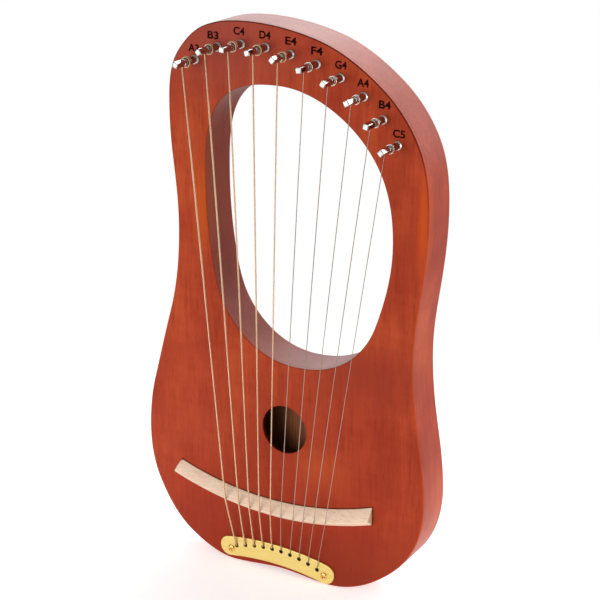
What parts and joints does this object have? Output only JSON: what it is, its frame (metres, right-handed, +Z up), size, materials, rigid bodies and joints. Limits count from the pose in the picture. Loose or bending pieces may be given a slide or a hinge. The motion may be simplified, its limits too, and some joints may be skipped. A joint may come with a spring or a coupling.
{
  "type": "lyre harp",
  "caption": "Small hand-held lyre harp: a hollow wooden body with an egg-shaped opening, a curved bridge, a brass tailpiece and a fan of strings on turning tuning pins.",
  "frame": {"origin": "on the plane under the two bottom lobes, midway across the body and midway between the pin tips and the back", "axes": "+Z up along the strings, -Y out of the soundboard towards the player's fingers, +X towards the short treble strings"},
  "size_m": [0.2094, 0.0528, 0.3723],
  "materials": {
    "mahogany": "red-brown stain under satin lacquer, fine upright grain",
    "spruce": "bare wood inside the sound chamber",
    "maple": "pale bare wood, lightly sanded",
    "brass": "pale brushed gold",
    "nickel": "bright nickel plate",
    "bronze_string": "bronze-wound string",
    "steel_string": "plain steel string"
  },
  "bodies": {
    "harp": {"body_frame": "mahogany", "soundboard": "mahogany", "back_plate": "mahogany", "brace_upper": "spruce", "brace_lower": "spruce", "tail_block": "spruce", "bridge": "maple", "tailpiece": "brass", "tailpiece_screw_left": "brass", "tailpiece_screw_right": "brass", "string_a3": "bronze_string", "string_b3": "bronze_string", "string_c4": "bronze_string", "string_d4": "bronze_string", "string_e4": "bronze_string", "string_f4": "steel_string", "string_g4": "steel_string", "string_a4": "steel_string", "string_b4": "steel_string", "string_c5": "steel_string", "ball_end_a3": "brass", "ball_end_b3": "brass", "ball_end_c4": "brass", "ball_end_d4": "brass", "ball_end_e4": "brass", "ball_end_f4": "brass", "ball_end_g4": "brass", "ball_end_a4": "brass", "ball_end_b4": "brass", "ball_end_c5": "brass"},
    "tuner_a3": {"tuning_pin_a3": "nickel", "winding_a3": "bronze_string"},
    "tuner_b3": {"tuning_pin_b3": "nickel", "winding_b3": "bronze_string"},
    "tuner_c4": {"tuning_pin_c4": "nickel", "winding_c4": "bronze_string"},
    "tuner_d4": {"tuning_pin_d4": "nickel", "winding_d4": "bronze_string"},
    "tuner_e4": {"tuning_pin_e4": "nickel", "winding_e4": "bronze_string"},
    "tuner_f4": {"tuning_pin_f4": "nickel", "winding_f4": "steel_string"},
    "tuner_g4": {"tuning_pin_g4": "nickel", "winding_g4": "steel_string"},
    "tuner_a4": {"tuning_pin_a4": "nickel", "winding_a4": "steel_string"},
    "tuner_b4": {"tuning_pin_b4": "nickel", "winding_b4": "steel_string"},
    "tuner_c5": {"tuning_pin_c5": "nickel", "winding_c5": "steel_string"}
  },
  "joints": [
    {"name": "turn_a3", "type": "hinge", "parent": "harp", "child": "tuner_a3", "pos_m": [-0.064, -0.0036, 0.3446], "axis": [0, 1, 0], "range_deg": [-560, 45]},
    {"name": "turn_b3", "type": "hinge", "parent": "harp", "child": "tuner_b3", "pos_m": [-0.047, -0.0036, 0.3544], "axis": [0, 1, 0], "range_deg": [-560, 45]},
    {"name": "turn_c4", "type": "hinge", "parent": "harp", "child": "tuner_c4", "pos_m": [-0.03, -0.0036, 0.3577], "axis": [0, 1, 0], "range_deg": [-560, 45]},
    {"name": "turn_d4", "type": "hinge", "parent": "harp", "child": "tuner_d4", "pos_m": [-0.0121, -0.0036, 0.3575], "axis": [0, 1, 0], "range_deg": [-560, 45]},
    {"name": "turn_e4", "type": "hinge", "parent": "harp", "child": "tuner_e4", "pos_m": [0.0054, -0.0036, 0.355], "axis": [0, 1, 0], "range_deg": [-560, 45]},
    {"name": "turn_f4", "type": "hinge", "parent": "harp", "child": "tuner_f4", "pos_m": [0.0238, -0.0036, 0.3509], "axis": [0, 1, 0], "range_deg": [-560, 45]},
    {"name": "turn_g4", "type": "hinge", "parent": "harp", "child": "tuner_g4", "pos_m": [0.0403, -0.0036, 0.3444], "axis": [0, 1, 0], "range_deg": [-560, 45]},
    {"name": "turn_a4", "type": "hinge", "parent": "harp", "child": "tuner_a4", "pos_m": [0.0563, -0.0036, 0.3348], "axis": [0, 1, 0], "range_deg": [-560, 45]},
    {"name": "turn_b4", "type": "hinge", "parent": "harp", "child": "tuner_b4", "pos_m": [0.0695, -0.0036, 0.3223], "axis": [0, 1, 0], "range_deg": [-560, 45]},
    {"name": "turn_c5", "type": "hinge", "parent": "harp", "child": "tuner_c5", "pos_m": [0.0797, -0.0036, 0.3077], "axis": [0, 1, 0], "range_deg": [-560, 45]}
  ]
}
